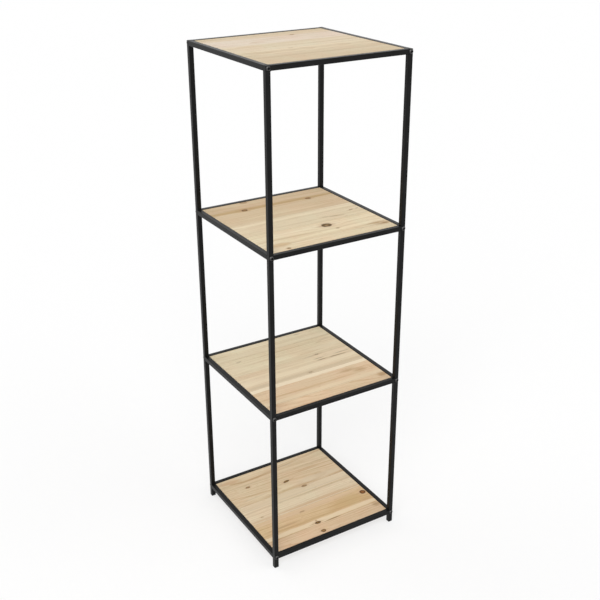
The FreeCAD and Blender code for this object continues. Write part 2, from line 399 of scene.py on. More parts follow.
def use(tree, group, inputs):
    """Puts a node group to work and returns its output."""
    node = add(tree, "ShaderNodeGroup", {}, node_tree=group)
    for name, value in inputs.items():
        feed(tree, node.inputs[name], value)
    return node.outputs[0]


print("helpers: new_group, use")


# %% Ovals with frayed edges
def oval_reach(tree, place, centre, size):
    """0 at the centre of an oval and 1 on its edge."""
    offset = vectors(tree, "SUBTRACT", place, centre)
    return vectors(tree, "LENGTH", vectors(tree, "DIVIDE", offset, size))


def fray(tree, reach, cloud, amount):
    """Roughens the edge of an oval with a cloudy noise."""
    return sums(tree, "MULTIPLY_ADD", sums(tree, "SUBTRACT", cloud, 0.5), amount, reach)


def tilt(tree, place, centre, lean):
    """Leans an oval: lean is how far it rises in Y for each millimetre of X."""
    along = split(tree, vectors(tree, "SUBTRACT", place, centre))["X"]
    return vectors(tree, "SUBTRACT", place, join(tree, Y=sums(tree, "MULTIPLY", along, lean)))


def lay(tree, given, share, under, over):
    """Lays one colour over another, as strongly as the amount of the mark says."""
    return blend(tree, sums(tree, "MULTIPLY", share, given["Amount"]), under, over)


print("helpers: oval_reach, fray, tilt, lay")

# %% The streak
STREAK_FRAY = 1.0
STREAK_END = 1.05           # where the tint has faded out


def streak_group():
    """Tints a long oval. Edge is the part of its half width that has the full tint."""
    names = ["Colour", "Place", "Centre", "Size", "Lean", "Tint", "Amount", "Edge", "Fibres"]
    tree, given, result = new_group("streak", names, "Colour")
    leaning = tilt(tree, given["Place"], given["Centre"], given["Lean"])
    reach = oval_reach(tree, leaning, given["Centre"], given["Size"])
    reach = fray(tree, reach, given["Fibres"], STREAK_FRAY)
    share = ease(tree, reach, STREAK_END, given["Edge"])
    feed(tree, result, lay(tree, given, share, given["Colour"], given["Tint"]))
    return tree


streak_tree = streak_group()
print("a streak has", len(streak_tree.nodes), "nodes")

# %% The wood round a knot
TRAIL_SIZE = (4.2, 0.55, 1.0)       # how many knots long and wide the trailing grain is
TRAIL_FRAY, TRAIL_STRENGTH = 1.6, 0.6
HALO_REACH, HALO_STRENGTH = 2.3, 0.5


def knot_trail(tree, given, place):
    """Darkens the grain that trails off on both sides of a knot."""
    size = vectors(tree, "MULTIPLY", given["Size"], TRAIL_SIZE)
    reach = fray(tree, oval_reach(tree, place, given["Centre"], size), given["Fibres"], TRAIL_FRAY)
    share = ease(tree, reach, 1.0, 0.1, 0.0, TRAIL_STRENGTH)
    return lay(tree, given, share, given["Colour"], RESIN_BROWN)


def knot_halo(tree, given, reach, colour):
    """Warms the wood that touches a knot."""
    return lay(tree, given, ease(tree, reach, HALO_REACH, 0.9, 0.0, HALO_STRENGTH), colour, REDDISH)


print("a trail is", TRAIL_SIZE[0], "knots long, and a halo", HALO_REACH, "knots wide")

# %% The face of a knot
KNOT_CHECKS = 5.0           # fine cracks from the middle of a knot
KNOT_RINGS = 24.0           # radians of its growth rings from the middle to the rim
CHECK_WAVE, CHECK_ENDS = (0.12, 0.02), (0.75, 0.3)      # where a crack fades out and is full
CHECK_STRENGTH, RING_STRENGTH = 0.7, 0.45
HEART_FADE = 0.35           # how far outside its heart a knot is as dark as its rim
KNOT_BARK = (0.38, 0.37, 0.34)      # the rim's tone is this share of the core's
BARK_LINE = (0.05, 0.035, 0.02)     # loose bark between the knot and the stem
BARK_REACH, BARK_WIDTH = 0.95, (0.1, 0.02)


def knot_marks(tree, given, reach):
    """How dark the cracks and the rings make a place on a knot."""
    sides = split(tree, vectors(tree, "SUBTRACT", given["Place"], given["Centre"]))
    angle = sums(tree, "ARCTAN2", sides["Y"], sides["X"])
    spokes = sums(tree, "MULTIPLY_ADD", angle, KNOT_CHECKS / 2, reach)
    waves = sums(tree, "ABSOLUTE", sums(tree, "SINE", spokes))
    checks = sums(tree, "MULTIPLY", ease(tree, waves, *CHECK_WAVE), ease(tree, reach, *CHECK_ENDS))
    rings = ease(tree, sums(tree, "SINE", sums(tree, "MULTIPLY", reach, KNOT_RINGS)), -0.6, 1.0)
    checks = sums(tree, "MULTIPLY", checks, CHECK_STRENGTH)
    return sums(tree, "MAXIMUM", checks, sums(tree, "MULTIPLY", rings, RING_STRENGTH))


def knot_face(tree, given, reach):
    """The colours of a knot, from its heart to the loose bark."""
    bark = blend(tree, 1.0, given["Core"], KNOT_BARK, "MULTIPLY")
    outer = ease(tree, reach, given["Heart"], sums(tree, "ADD", given["Heart"], HEART_FADE))
    dark = sums(tree, "MAXIMUM", knot_marks(tree, given, reach), outer)
    face = blend(tree, dark, given["Core"], bark)
    from_line = sums(tree, "ABSOLUTE", sums(tree, "SUBTRACT", reach, BARK_REACH))
    patchy = ease(tree, given["Cloud"], 0.4, 0.55)
    loose = sums(tree, "MULTIPLY", ease(tree, from_line, *BARK_WIDTH), patchy)
    return lay(tree, given, loose, face, BARK_LINE)


print("a knot's bark lies at", BARK_REACH, "of its half length and width")

# %% The whole knot
EDGE_CLOUD, EDGE_FIBRES = 0.4, 0.35         # how uneven the edge of a knot is
KNOT_EDGE = (1.12, 0.9)     # where it fades out and is full


def knot_group():
    """Paints a knot and the wood that it changes."""
    names = ["Colour", "Place", "Centre", "Size", "Lean", "Core", "Heart", "Amount", "Fibres", "Cloud"]
    tree, given, result = new_group("knot", names, "Colour")
    leaning = tilt(tree, given["Place"], given["Centre"], given["Lean"])
    reach = oval_reach(tree, leaning, given["Centre"], given["Size"])
    reach = fray(tree, fray(tree, reach, given["Cloud"], EDGE_CLOUD), given["Fibres"], EDGE_FIBRES)
    colour = knot_halo(tree, given, reach, knot_trail(tree, given, leaning))
    face = knot_face(tree, given, reach)
    feed(tree, result, lay(tree, given, ease(tree, reach, *KNOT_EDGE), colour, face))
    return tree


knot_tree = knot_group()
print("a knot has", len(knot_tree.nodes), "nodes")

# %% The grain round a knot
BEND_REACH = (2.8, 1.7, 1.0)        # how many knots away the grain is still bent
BEND_PULL = 0.8             # 0 leaves the grain straight


def bend_group():
    """Pushes the grain aside, so that its lines pass on both sides of a knot."""
    tree, given, result = new_group("grain_round_knot", ["Place", "Centre", "Size"], "Place")
    wide = vectors(tree, "MULTIPLY", given["Size"], BEND_REACH)
    reach = oval_reach(tree, given["Place"], given["Centre"], wide)
    near = sums(tree, "EXPONENT", sums(tree, "MULTIPLY", sums(tree, "MULTIPLY", reach, reach), -1.0))
    pull = join(tree, Y=sums(tree, "MULTIPLY", near, -BEND_PULL))
    shift = vectors(tree, "MULTIPLY", vectors(tree, "SUBTRACT", given["Place"], given["Centre"]), pull)
    feed(tree, result, vectors(tree, "ADD", given["Place"], shift))
    return tree


bend_tree = bend_group()
print("the grain round a knot has", len(bend_tree.nodes), "nodes")

# %% [markdown]
# ## Placing them
#
# A noise could scatter the marks, but a real board has few knots and no two of them are alike,
# so each is listed one by one. Places are in millimetres from the middle of the board, with Y to
# the back, and sizes are half lengths. An amount of 1 hides the wood below, and a lean of 0.1
# rises a tenth of the way along. A knot keeps the tone of its core as far out as its heart
# says, and a streak its full tint as far as its edge says: 0 is the middle and 1 is the rim.

# %% Where the knots are
Knot = namedtuple("Knot", "x y long wide core amount lean heart", defaults=(KNOT_BLACK, 1.0, 0.0, 0.4))

KNOTS = {
    1: [Knot(-22, -153, 7, 5.2, KNOT_BROWN, heart=0.4), Knot(-17, -119, 8.5, 4.4, KNOT_BROWN, heart=0.1),
        Knot(152.5, -72, 8, 7.4, KNOT_RED), Knot(-28, -60, 7, 2.8, KNOT_BROWN, 0.45, heart=0.6),
        Knot(4, 74, 9.5, 3.6, lean=0.15, heart=0.45), Knot(35, 32, 8, 4, KNOT_GREY, 0.9, heart=0.55),
        Knot(-97, 104, 6.5, 3.2, KNOT_BROWN, 0.85), Knot(-127, -27, 4, 2, KNOT_PALE, 0.55)],
    2: [Knot(10, -40, 5, 2.5, SMUDGE, 0.5), Knot(-115, 97, 7, 2.6, SMUDGE, 0.35, 0.2),
        Knot(72, 31, 5, 2.6, SMUDGE, 0.6)],
    3: [Knot(-80, 108, 8, 6, KNOT_BROWN, 0.9, 0.1), Knot(93, 106, 7, 4.6, KNOT_BROWN, 1.0, -0.1),
        Knot(-57, 158, 9, 6, KNOT_BROWN, 0.5), Knot(28.5, -77.5, 12.5, 10, KNOT_GREY, heart=0.2),
        Knot(40, -106, 3.5, 2.8, KNOT_PALE, 0.7), Knot(134, -18, 6, 2.2, KNOT_PALE, 0.85, 0.2),
        Knot(-115, -155, 4, 4, KNOT_BROWN, 0.8)],
    4: [Knot(58, 118, 7, 4, KNOT_BROWN, 0.55, 0.3), Knot(-32, -28, 6, 2.2, KNOT_PALE, 0.5)],
}
print("knots:", sum(map(len, KNOTS.values())))

# %% Where the streaks are
Streak = namedtuple("Streak", "x y long wide tint amount edge lean", defaults=(0.35, 0.0))
FULL = 400.0                # longer than the board

STREAKS = {
    1: [Streak(0, -115, FULL, 8.5, SAP_HONEY, 0.85, 0.7), Streak(-20, -54, 260, 13, PINKISH, 0.6),
        Streak(0, -38, FULL, 5, REDDISH, 0.6), Streak(-100, -88, 62, 4.5, RESIN_BROWN, 0.6),
        Streak(100, -84, 78, 24, HEART, 0.65), Streak(60, -39, 190, 3.2, REDDISH, 0.5),
        Streak(60, -33, 110, 3.5, REDDISH, 0.5), Streak(26, -124.5, 32, 2.8, KNOT_BLACK, 0.85),
        Streak(0, 20, FULL, 17, STRAW, 0.5), Streak(90, 50, 95, 15, SOFT_STRAW, 0.6, 0.5),
        Streak(28, 43, 30, 7, REDDISH, 0.25), Streak(-132, 148, 44, 8, REDDISH, 0.75, 0.5),
        Streak(85, 98, 48, 7.5, REDDISH, 0.6, 0.5), Streak(154, -133, 16, 10, KNOT_GREY, 0.6),
        Streak(-112, 67, 62, 2.6, RESIN_BROWN, 0.4), Streak(-105, 54, 52, 2.4, SMUDGE, 0.4, lean=0.03),
        Streak(-145, 100, 26, 3, REDDISH, 0.3), Streak(0, 139, 200, 3.4, RESIN_BROWN, 0.45, lean=0.1),
        Streak(42, 141, 22, 3, SMUDGE, 0.45), Streak(148, 156, 24, 5, REDDISH, 0.4),
        Streak(0, 12, FULL, 1.8, SMUDGE, 0.3), Streak(30, 2, 190, 1.8, SMUDGE, 0.4),
        Streak(150, -100, 26, 9, RESIN_BROWN, 0.35), Streak(-17, -113, 4.5, 6.5, RESIN_BROWN, 0.75),
        Streak(-11, -149, 8, 6, GOLDEN, 0.8), Streak(0, 122, FULL, 9, SAP_HONEY, 0.35)],
    2: [Streak(0, -121.5, FULL, 9.5, SAP_HONEY, 0.9, 0.7), Streak(0, -107, FULL, 5, TAN, 0.4),
        Streak(0, -54, FULL, 9, SAP_PALE, 0.95, 0.75), Streak(0, -39, FULL, 7.5, DULL_TAN, 0.9),
        Streak(0, -15, FULL, 14, SAP_CREAM, 0.6), Streak(0, 6, FULL, 8, SAP_CREAM, 0.4),
        Streak(0, 40, FULL, 11, GREY_CREAM, 0.4), Streak(0, 120, FULL, 11, GREY_CREAM, 0.5),
        Streak(0, -80, 120, 20, TAN, 0.5), Streak(93, -78, 36, 12, RESIN_BROWN, 0.5, 0.1),
        Streak(120, -90, 26, 13, RESIN_BROWN, 0.55, 0.1),
        Streak(10, -40, 12, 5, SMUDGE, 0.35), Streak(67, 11, 19, 1.7, CRACK, 0.6),
        Streak(132, 12, 26, 1.7, CRACK, 0.55), Streak(71, 2, 19, 1.9, CRACK, 0.75),
        Streak(115, 1.5, 34, 2, CRACK, 0.8), Streak(60, 30, 40, 4, SMUDGE, 0.4, lean=0.1),
        Streak(118, 60, 66, 13, GREY_CREAM, 0.65, 0.5), Streak(-142, 59, 40, 9, GREY_CREAM, 0.65, 0.5),
        Streak(-90, 132, 100, 10, GREY_CREAM, 0.55, 0.5), Streak(-95, 77, 95, 6, GREY_CREAM, 0.5, 0.5),
        Streak(134, 95, 20, 6, DULL_TAN, 0.85, lean=0.15), Streak(87, 153, 12, 4.5, SMUDGE, 0.6),
        Streak(112, 87, 15, 3, RESIN_BROWN, 0.35, lean=0.1),
        Streak(154, -139, 18, 12, RESIN_BROWN, 0.75)],
    3: [Streak(0, 10, FULL, 11, SAP_BRIGHT, 0.6), Streak(0, 110, FULL, 11, HEART, 0.75),
        Streak(0, 110, 190, 3, RESIN_BROWN, 0.35), Streak(0, 37, FULL, 9, TAN, 0.7),
        Streak(0, 131, FULL, 10, PINKISH, 0.5), Streak(77, -34, 34, 5, SMUDGE, 0.3, lean=-0.18),
        Streak(54, -30, 10, 2.6, KNOT_GREY, 0.45, lean=-0.18), Streak(94, -38, 10, 2.4, KNOT_GREY, 0.4),
        Streak(77, -36, 15, 3, KNOT_GREY, 0.55, lean=-0.1), Streak(154, -15, 8, 3, SMUDGE, 0.6, lean=0.3),
        Streak(125, -122, 24, 6, RESIN_BROWN, 0.5), Streak(151, -132, 15, 6, KNOT_BROWN, 0.85),
        Streak(143, -128, 26, 15, RESIN_BROWN, 0.5), Streak(-120, -129, 28, 12, GOLDEN, 0.9, 0.5),
        Streak(0, 85, FULL, 14, TAN, 0.6), Streak(-80, 112, 13, 2.6, KNOT_BROWN, 0.7, lean=0.25),
        Streak(-80, 105, 13, 2.6, KNOT_BROWN, 0.6, lean=-0.25),
        Streak(93, 109, 11, 2.2, KNOT_BROWN, 0.6, lean=0.25),
        Streak(93, 103, 11, 2.2, KNOT_BROWN, 0.6, lean=-0.25)],
    4: [Streak(0, -45, FULL, 6, STRAW, 0.6), Streak(0, -98, FULL, 12, DULL_TAN, 0.4),
        Streak(40, 30, 160, 12, STRAW, 0.6), Streak(0, 128, FULL, 14, TAN, 0.7),
        Streak(0, -60, FULL, 10, SAP_CREAM, 0.45), Streak(0, -30, FULL, 10, SAP_CREAM, 0.6),
        Streak(0, 50, FULL, 11, BLUSH, 0.6)],
}
print("streaks:", sum(map(len, STREAKS.values())))

# %% [markdown]
# ## The staves
#
# Y counts the staves from the front, and the floor of that count is the number of the stave, so
# the pattern changes exactly at the glue joint. A White Noise node fed with the number throws
# three dice for each stave, which say where its pith lies.

# %% The stave that a place is in
STAVE = 80.0                # width of a full stave in millimetres
FRONT_STAVES = {1: 38.0, 2: 36.0, 3: 31.0, 4: 60.0}     # the front one is sawn narrower
STAVE_SEED, BOARD_SEED = 7.0, 31.0          # steps that keep the dice of all staves apart


def first_edge(level):
    """Where the front stave of a board would start if it had its full width."""
    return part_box(f"shelf_board_{level}")[0].y / MM + FRONT_STAVES[level] - STAVE


def stave_log(tree, place, level):
    """How many staves lie in front of a place, the number of its stave, and three dice."""
    from_edge = sums(tree, "SUBTRACT", split(tree, place)["Y"], first_edge(level))
    count = sums(tree, "DIVIDE", from_edge, STAVE)
    number = sums(tree, "FLOOR", count)
    seed = sums(tree, "MULTIPLY_ADD", number, STAVE_SEED, BOARD_SEED * level)
    dice = add(tree, "ShaderNodeTexWhiteNoise", {"W": seed}, noise_dimensions="1D").outputs["Color"]
    return count, number, add(tree, "ShaderNodeSeparateColor", {0: dice}).outputs


print("first glue joints in mm:", {level: round(first_edge(level) + STAVE, 1) for level in LEVELS})

# %% [markdown]
# ## The grain
#
# Three things make the lines of softwood. Each year's ring is pale in spring and ends in a
# narrow dark line of late wood, and then starts pale again, so its profile is a slow rise and
# a sharp fall. Some years are darker than others, which a White Noise node gives by the number
# of the ring. Long fibres run the whole length, so their noise is squeezed to a hundredth
# along X. The late wood stands a hair proud after sanding, so the same values feed the bump.

# %% Growth rings
RING_GAP = 4.2              # millimetres of growth a year
RING_DRIFT = 2.0            # how many rings early or late a wide or narrow stretch comes
SEASONS = 0.2               # good and bad stretches to a ring
PITH_DEPTH = (12.0, 60.0)   # how far below the board the pith lies
PITH_LEAN = 0.075           # the most that the pith rises for each millimetre along the stave
RING_WOBBLE = 9.0           # the most that a ring is off its true circle
WOBBLE_SQUEEZE, WOBBLE_SCALE = (0.22, 1.0, 1.0), 0.02


def ring_count(tree, place, number, dice, level):
    """Counts growth rings out from the pith of the stave."""
    parts = split(tree, place)
    pith = sums(tree, "MULTIPLY_ADD", sums(tree, "ADD", number, dice[0]), STAVE, first_edge(level))
    depth = sums(tree, "MULTIPLY_ADD", dice[1], PITH_DEPTH[1] - PITH_DEPTH[0], PITH_DEPTH[0])
    lean = sums(tree, "MULTIPLY", sums(tree, "SUBTRACT", dice[2], 0.5), 2 * PITH_LEAN)
    depth = sums(tree, "MULTIPLY_ADD", parts["X"], lean, depth)
    sideways = sums(tree, "SUBTRACT", parts["Y"], pith)
    upward = sums(tree, "ADD", parts["Z"], depth)
    squares = sums(tree, "MULTIPLY_ADD", sideways, sideways, sums(tree, "MULTIPLY", upward, upward))
    stray = noise(tree, vectors(tree, "MULTIPLY", place, WOBBLE_SQUEEZE), WOBBLE_SCALE, detail=3.0)
    radius = sums(tree, "ADD", sums(tree, "SQRT", squares), sums(tree, "MULTIPLY", stray, RING_WOBBLE))
    rings = sums(tree, "DIVIDE", radius, RING_GAP)
    seasons = noise(tree, join(tree, X=rings, Y=number), SEASONS)
    return sums(tree, "MULTIPLY_ADD", seasons, 2 * RING_DRIFT, rings)


print("rings in the width of a stave:", round(STAVE / RING_GAP))

# %% The dark line that ends a year
LATE_RISE, LATE_FALL = (0.35, 0.9), (1.0, 0.93)     # parts of a year, from 0 to 1
YEAR_STRENGTH = (0.35, 1.0)         # the faintest year and the strongest
LINE_FADING = (0.25, 1.0)           # and the faintest stretch of a line and the strongest


def latewood_line(tree, rings, fading):
    """1 in the dark line that ends a year, and 0 in the pale wood that starts one."""
    phase = sums(tree, "FRACT", rings)
    line = sums(tree, "MULTIPLY", ease(tree, phase, *LATE_RISE), ease(tree, phase, *LATE_FALL))
    year = add(tree, "ShaderNodeTexWhiteNoise", {"W": sums(tree, "FLOOR", rings)}, noise_dimensions="1D")
    line = sums(tree, "MULTIPLY", line, ease(tree, year.outputs["Value"], 0.0, 1.0, *YEAR_STRENGTH))
    return sums(tree, "MULTIPLY", line, ease(tree, fading, *MOST, *LINE_FADING))


print("width of a dark line in mm:", round(RING_GAP * (LATE_FALL[0] - LATE_RISE[0]), 1))

# %% The noises of the wood
Pattern = namedtuple("Pattern", "squeeze scale detail roughness", defaults=(2.0, 0.5))

PATTERNS = {
    "fibres": Pattern((0.012, 1.0, 0.6), 1.3, 3.0, 0.65),
    "bands": Pattern((0.012, 1.0, 0.6), 0.14),
    "fading": Pattern((0.2, 1.0, 1.0), 0.04),
    "flecks": Pattern((0.07, 1.0, 1.0), 0.9, 1.0),
    "drift": Pattern((0.12, 1.0, 1.0), 0.035, 3.0),
    "warmth": Pattern((1.0, 0.35, 1.0), 0.02),
    "fraying": Pattern((0.06, 1.0, 1.0), 0.45, 4.0),
    "blots": Pattern((1.0, 1.0, 1.0), 0.13, 1.5),
}


def pattern(tree, place, name):
    """One of the noises. A squeeze of a tenth makes it ten times as long that way."""
    chosen = PATTERNS[name]
    squeezed = vectors(tree, "MULTIPLY", place, chosen.squeeze)
    return noise(tree, squeezed, chosen.scale, chosen.detail, chosen.roughness)


print("noises:", list(PATTERNS))

# %% Shades that multiply the tone of the wood
WHITE = (1.0, 1.0, 1.0)
SHADES = {
    "drift": [(0.3, (0.93, 0.90, 0.87)), (0.5, WHITE), (0.7, (1.03, 1.05, 1.08))],
    "warmth": [(0.35, (1.0, 0.97, 0.95)), (0.65, (0.98, 1.0, 0.98))],
    "bands": [(0.32, (0.88, 0.84, 0.78)), (0.5, WHITE), (0.68, (1.04, 1.05, 1.06))],
    "fibres": [(0.3, (0.90, 0.87, 0.83)), (0.62, WHITE)],
    "flecks": [(0.66, WHITE), (0.76, (0.70, 0.60, 0.48))],
}


def shade(tree, colour, value, name):
    """Multiplies a colour by a ramp."""
    return blend(tree, 1.0, colour, ramp(tree, value, SHADES[name]), "MULTIPLY")


print("shades:", list(SHADES))

# %% The plain tones, and the glue lines with painted shade
# The dark line at each joint is partly glue and partly painted shade in the joint.
GLUE_AND_SHADE_LINE = (0.36, 0.27, 0.18)
GLUE_AND_SHADE_WIDTH = (0.9, 0.3)     # millimetres from the joint where the line fades out and is full
GLUE_AND_SHADE_STRENGTH = (0.15, 0.7)


def stave_tone(tree, number, level):
    """The plain tone of each stave."""
    tones = STAVE_TONES[level]
    share = sums(tree, "DIVIDE", sums(tree, "ADD", number, 0.5), float(len(tones)))
    stops = [(step / len(tones), tone) for step, tone in enumerate(tones)]
    return ramp(tree, share, stops, "CONSTANT")


def glue_and_shade_lines(tree, colour, count, fading):
    """Draws the glue and a painted shade where one stave ends and the next starts, and lets it fade in
    places.
    """
    from_joint = sums(tree, "ABSOLUTE", sums(tree, "SUBTRACT", count, sums(tree, "ROUND", count)))
    on_joint = ease(tree, from_joint, GLUE_AND_SHADE_WIDTH[0] / STAVE, GLUE_AND_SHADE_WIDTH[1] / STAVE)
    amount = sums(tree, "MULTIPLY", on_joint, ease(tree, fading, 0.35, 0.6, *GLUE_AND_SHADE_STRENGTH))
    return blend(tree, amount, colour, GLUE_AND_SHADE_LINE)


print("width of a glue line in mm:", 2 * GLUE_AND_SHADE_WIDTH[0])

# %% Put the knots and streaks to work
THROUGH = 1000.0            # half height of a mark: it goes right through the board


def oval(mark):
    """The sockets that say where a knot or a streak is, and how large."""
    return {"Centre": (mark.x, mark.y, 0.0), "Size": (mark.long, mark.wide, THROUGH)}


def bend_grain(tree, place, level):
    """The place that the growth rings are read from, after they part round every knot."""
    for knot in KNOTS[level]:
        place = use(tree, bend_tree, {"Place": place, **oval(knot)})
    return place


def paint_streaks(tree, colour, place, fibres, level):
    """Lays the streaks of a board over its wood."""
    for streak in STREAKS[level]:
        colour = use(tree, streak_tree, {
            "Colour": colour, "Place": place, **oval(streak), "Lean": streak.lean, "Tint": streak.tint,
            "Amount": streak.amount, "Edge": streak.edge, "Fibres": fibres})
    return colour


def paint_knots(tree, colour, place, fibres, cloud, level):
    """Lays the knots of a board over all the rest."""
    for knot in KNOTS[level]:
        colour = use(tree, knot_tree, {
            "Colour": colour, "Place": place, **oval(knot), "Lean": knot.lean, "Core": knot.core,
            "Heart": knot.heart, "Amount": knot.amount, "Fibres": fibres, "Cloud": cloud})
    return colour


print("helpers: oval, bend_grain, paint_streaks, paint_knots")

# %% The whole finish of one board
LATEWOOD = (0.66, 0.48, 0.32)       # multiplies the tone of the wood
GRAIN_STRENGTH = {1: 0.55, 2: 0.55, 3: 0.42, 4: 0.42}
STAVE_APART = 317.0         # how far apart in the noise two neighbouring staves are cut
LINE_HEIGHT = 0.8           # of a dark line, where the fibres are 1
WOOD_RELIEF = 0.05 * MM
WOOD_ROUGHNESS = (0.70, 0.58)
WOOD_SHINE = 0.12


def softwood(level):
    """Sanded knotty softwood for the board of one level."""
    material, tree, place = start_material(f"softwood_{level}")
    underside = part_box(f"shelf_board_{level}")[0].z / MM
    place = vectors(tree, "SUBTRACT", place, (0.0, 0.0, underside))
    bent = bend_grain(tree, place, level)
    count, number, dice = stave_log(tree, place, level)
    own = vectors(tree, "ADD", bent, join(tree, X=sums(tree, "MULTIPLY", number, STAVE_APART)))
    fibres, fading = pattern(tree, own, "fibres"), pattern(tree, own, "fading")
    line = latewood_line(tree, ring_count(tree, bent, number, dice, level), fading)

    colour = stave_tone(tree, number, level)
    for name in ("drift", "warmth", "bands"):
        colour = shade(tree, colour, pattern(tree, own, name), name)
    colour = blend(tree, sums(tree, "MULTIPLY", line, GRAIN_STRENGTH[level]), colour, LATEWOOD, "MULTIPLY")
    colour = shade(tree, colour, fibres, "fibres")
    colour = shade(tree, colour, pattern(tree, own, "flecks"), "flecks")
    fraying = pattern(tree, bent, "fraying")
    colour = paint_streaks(tree, colour, bent, fraying, level)
    colour = glue_and_shade_lines(tree, colour, count, fading)
    colour = paint_knots(tree, colour, place, fraying, pattern(tree, place, "blots"), level)

    height = sums(tree, "MULTIPLY_ADD", line, LINE_HEIGHT, fibres)
    roughness = ease(tree, fibres, *MOST, *WOOD_ROUGHNESS)
    return end_material(material, colour, roughness, height, WOOD_RELIEF, Specular_IOR_Level=WOOD_SHINE)


boards = {level: softwood(level) for level in LEVELS}

# %% [markdown]
# ## Giving each piece its finish
#
# A frame piece keeps its mesh. Only the material in its slot changes, and a word in its name
# says what it is made of. The first word that fits counts, so the inserts of a rail are zinc
# and not coat.

# %% Assign the finishes
FINISHES = {"inserts": zinc, "screws": zinc, "bolts": blackened, "foot": plastic, "cap": plastic,
            "tabs": coat, "upright": coat, "rail": coat}
for level, board in boards.items():
    FINISHES[f"board_{level}"] = board

for name, piece in pieces.items():
    finish = next(finish for word, finish in FINISHES.items() if word in name)
    piece.data.materials.clear()
    piece.data.materials.append(finish)
print("finished pieces:", len(pieces))

# %% [markdown]
# ## Weld beads
#
# The frame file stops where the tubes meet. On the real tower each front and back rail is
# welded to its two uprights. The seam on the outside is ground flush before painting, and the
# one in the corner underneath is left as the torch made it: a little quarter-round ridge with
# a ripple for each drop of metal, which the paint then covers. A bead could be a bump in the
# paint, but a weld has a real outline, so it is modelled. Extruding a ring again and again, a
# bit wider and a bit narrower in turn, makes the rippled stick. The ring is bare edges: a
# disc would leave a wall inside the stick at every step. Two faces close the ends, and two
# cuts leave only the quarter that lies outside the tubes.
#
# Each support tab is held by a tack at both ends of its root. A tack is one drop: a squashed
# ball, cut the same way.

# %% A rippled stick of weld metal
BEAD_RADIUS = 2.1 * MM
BEAD_RIPPLES = 7
BEAD_CREST, BEAD_DIP, BEAD_END = 1.0, 0.91, 0.6     # shares of the radius
BEAD_SIDES = 24


def rippled_stick(length):
    """Stands on the origin, with one swelling for each drop of metal."""
    widths = [BEAD_END, BEAD_DIP] + [BEAD_CREST, BEAD_DIP] * BEAD_RIPPLES + [BEAD_END]
    step = length / (len(widths) - 1)
    shape = bmesh.new()
    bmesh.ops.create_circle(shape, segments=BEAD_SIDES, radius=BEAD_RADIUS * BEAD_END)
    ring = shape.edges[:]
    for before, after in zip(widths, widths[1:]):
        grown = bmesh.ops.extrude_edge_only(shape, edges=ring)["geom"]
        ring = [part for part in grown if isinstance(part, bmesh.types.BMEdge)]
        lifted = [part for part in grown if isinstance(part, bmesh.types.BMVert)]
        bmesh.ops.translate(shape, verts=lifted, vec=(0.0, 0.0, step))
        bmesh.ops.scale(shape, verts=lifted, vec=(after / before, after / before, 1.0))
    bmesh.ops.holes_fill(shape, edges=shape.edges, sides=BEAD_SIDES)
    return shape


print("height of a ripple in mm:", round(BEAD_RADIUS * (BEAD_CREST - BEAD_DIP) / MM, 2))

# %% Cut a weld where it meets the metal
WELD_BITE = 0.05 * MM       # how far a weld reaches into the metal, so that no slit shows
CUT_SNAP = 1e-7             # a point this near to the plane, in metres, lies on it


def cut_away(shape, place, kept):
    """Cuts a shape with a plane, keeps the side that kept points to, and closes the cut."""
    everything = shape.verts[:] + shape.edges[:] + shape.faces[:]
    cut = bmesh.ops.bisect_plane(shape, geom=everything, dist=CUT_SNAP, plane_co=place,
                                 plane_no=kept, clear_inner=True)["geom_cut"]
    rim = [part for part in cut if isinstance(part, bmesh.types.BMEdge)]
    bmesh.ops.contextual_create(shape, geom=rim)


print("a weld bites", round(WELD_BITE / MM, 2), "mm deep")

# %% One bead and one tack
BEAD_SINK = 0.4 * MM        # how far inside the corner the axis of the stick lies
TACK_REACH = 1.6 * MM
TACK_SIDES, TACK_BANDS = 20, 10


def weld_bead(corner, side, length):
    """The bead under the end of a rail. Side is -1 or 1, for the upright on its left or right."""
    shape = rippled_stick(length)
    bmesh.ops.rotate(shape, verts=shape.verts, matrix=Matrix.Rotation(math.radians(-90.0), 3, "X"))
    bmesh.ops.translate(shape, verts=shape.verts, vec=corner + Vector((side * BEAD_SINK, 0.0, BEAD_SINK)))
    cut_away(shape, corner + Vector((side * WELD_BITE, 0.0, 0.0)), (-side, 0.0, 0.0))
    cut_away(shape, corner + Vector((0.0, 0.0, WELD_BITE)), (0.0, 0.0, -1.0))
    return shape


def weld_tack(corner, side, inward, thickness):
    """One drop at an end of a tab's root. Inward is 1 or -1, from the rail to the tab in Y."""
    shape = bmesh.new()
    bmesh.ops.create_uvsphere(shape, u_segments=TACK_SIDES, v_segments=TACK_BANDS, radius=TACK_REACH)
    bmesh.ops.scale(shape, verts=shape.verts, vec=(1.0, 1.0, thickness / 2 / TACK_REACH))
    bmesh.ops.translate(shape, verts=shape.verts, vec=corner)
    cut_away(shape, corner + Vector((-side * WELD_BITE, 0.0, 0.0)), (side, 0.0, 0.0))
    cut_away(shape, corner + Vector((0.0, -inward * WELD_BITE, 0.0)), (0.0, inward, 0.0))
    return shape


print("a bead stands out", round((BEAD_RADIUS - BEAD_SINK) / MM, 1), "mm")

# %% The welds of one level
BEAD_INSET = 0.7 * MM       # the bead stops short of the rounded edges of the tube
TAB_LENGTH = 24.0 * MM


def bead_length(row, level):
    """How long the bead under the end of a rail is."""
    low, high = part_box(f"{row}_rail_{level}")
    return high.y - low.y - 2 * BEAD_INSET


def rail_welds(row, level):
    """The two beads under a front or back rail, one at each end."""
    low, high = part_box(f"{row}_rail_{level}")
    return [weld_bead(Vector((x, low.y + BEAD_INSET, low.z)), side, bead_length(row, level))
            for side, x in ((-1, low.x), (1, high.x))]


